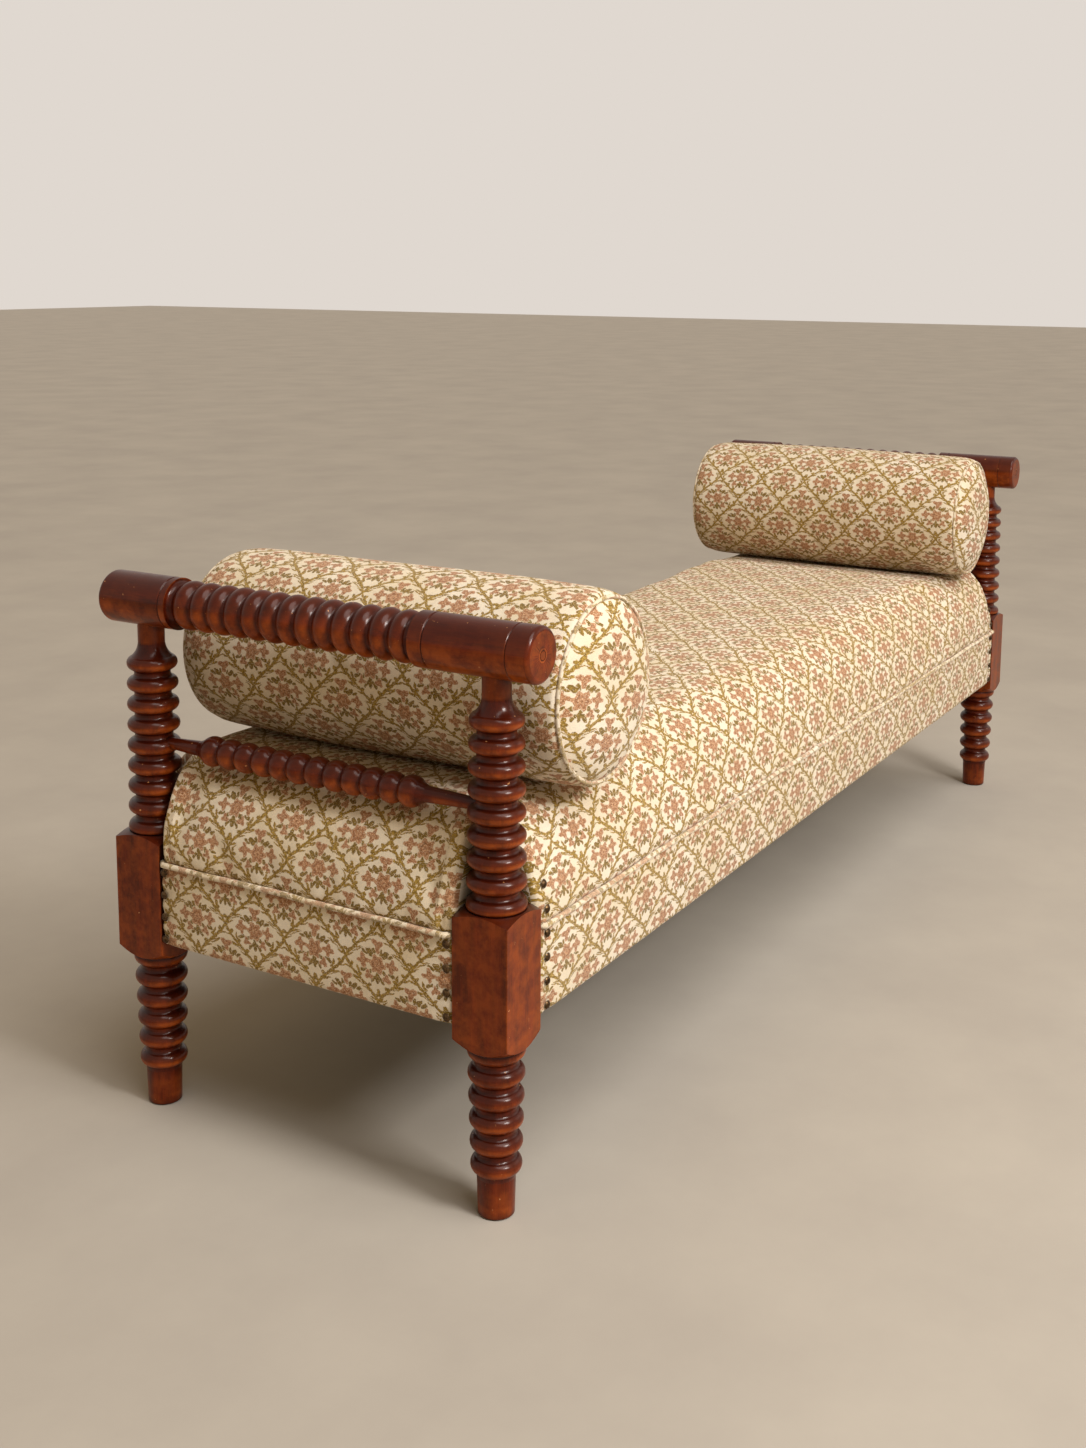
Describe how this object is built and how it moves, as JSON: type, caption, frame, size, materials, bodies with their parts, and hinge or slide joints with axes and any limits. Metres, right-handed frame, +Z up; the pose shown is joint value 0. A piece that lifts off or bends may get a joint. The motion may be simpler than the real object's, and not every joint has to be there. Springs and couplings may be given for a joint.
{
  "type": "daybed",
  "caption": "Daybed with bobbin-turned posts, a turned roll rail and spindle at each end, a boxed sprung seat with piping and a loose round bolster at each end.",
  "frame": {"origin": "on the floor, under the middle of the daybed", "axes": "+X along the bed, +Y across it, +Z up"},
  "size_m": [2.081, 0.664, 0.7473],
  "materials": {
    "turned_wood": "red-brown stain under polished shellac, worn to a lighter orange on the crests",
    "frame_wood": "sawn, unfinished",
    "screw_steel": "plain steel",
    "tack_steel": "blued steel",
    "spring_steel": "coppered steel wire",
    "bronze_nails": "dark antique bronze, domed",
    "jute_webbing": "woven jute",
    "hessian": "plain woven jute",
    "stuffing": "hair and cotton wadding",
    "tapestry": "woven tapestry, cream ground with an olive ogee trellis and rose sprays",
    "piping_fabric": "the same tapestry, cut on the bias over a cord",
    "black_cloth": "thin black cotton"
  },
  "bodies": {
    "frame_and_seat": {"post_near_front": "turned_wood", "post_near_back": "turned_wood", "post_far_front": "turned_wood", "post_far_back": "turned_wood", "top_rail_near": "turned_wood", "top_rail_cap_near": "turned_wood", "top_rail_cap_screw_near": "screw_steel", "top_rail_plug_near": "turned_wood", "spindle_near": "turned_wood", "top_rail_far": "turned_wood", "top_rail_cap_far": "turned_wood", "top_rail_cap_screw_far": "screw_steel", "top_rail_plug_far": "turned_wood", "spindle_far": "turned_wood", "side_rail_front": "frame_wood", "side_rail_back": "frame_wood", "end_rail_near": "frame_wood", "end_rail_far": "frame_wood", "corner_brace_near_front": "frame_wood", "corner_brace_near_back": "frame_wood", "corner_brace_far_front": "frame_wood", "corner_brace_far_back": "frame_wood", "corner_screws": "screw_steel", "tacking_stiles": "frame_wood", "webbing_lengthwise": "jute_webbing", "webbing_crosswise": "jute_webbing", "webbing_tacks": "tack_steel", "spring_row_front": "spring_steel", "spring_row_middle": "spring_steel", "spring_row_back": "spring_steel", "spring_hessian": "hessian", "seat_border_front": "tapestry", "seat_border_back": "tapestry", "seat_border_near": "tapestry", "seat_border_far": "tapestry", "seat_piping": "piping_fabric", "seat_stuffing": "stuffing", "seat_cover": "tapestry", "cover_nails_near_front": "bronze_nails", "cover_nails_near_back": "bronze_nails", "cover_nails_far_front": "bronze_nails", "cover_nails_far_back": "bronze_nails", "dust_cover": "black_cloth", "dust_cover_tacks": "tack_steel"},
    "bolster_near": {"bolster_near_core": "stuffing", "bolster_near_cover": "tapestry", "bolster_near_end_front": "tapestry", "bolster_near_piping_front": "piping_fabric", "bolster_near_end_back": "tapestry", "bolster_near_piping_back": "piping_fabric"},
    "bolster_far": {"bolster_far_core": "stuffing", "bolster_far_cover": "tapestry", "bolster_far_end_front": "tapestry", "bolster_far_piping_front": "piping_fabric", "bolster_far_end_back": "tapestry", "bolster_far_piping_back": "piping_fabric"}
  },
  "joints": [
    {"name": "bolster_near_lift", "type": "slide", "parent": "frame_and_seat", "child": "bolster_near", "axis": [0, 0, 1], "range_m": [0, 0.3]},
    {"name": "bolster_far_lift", "type": "slide", "parent": "frame_and_seat", "child": "bolster_far", "axis": [0, 0, 1], "range_m": [0, 0.3]}
  ]
}
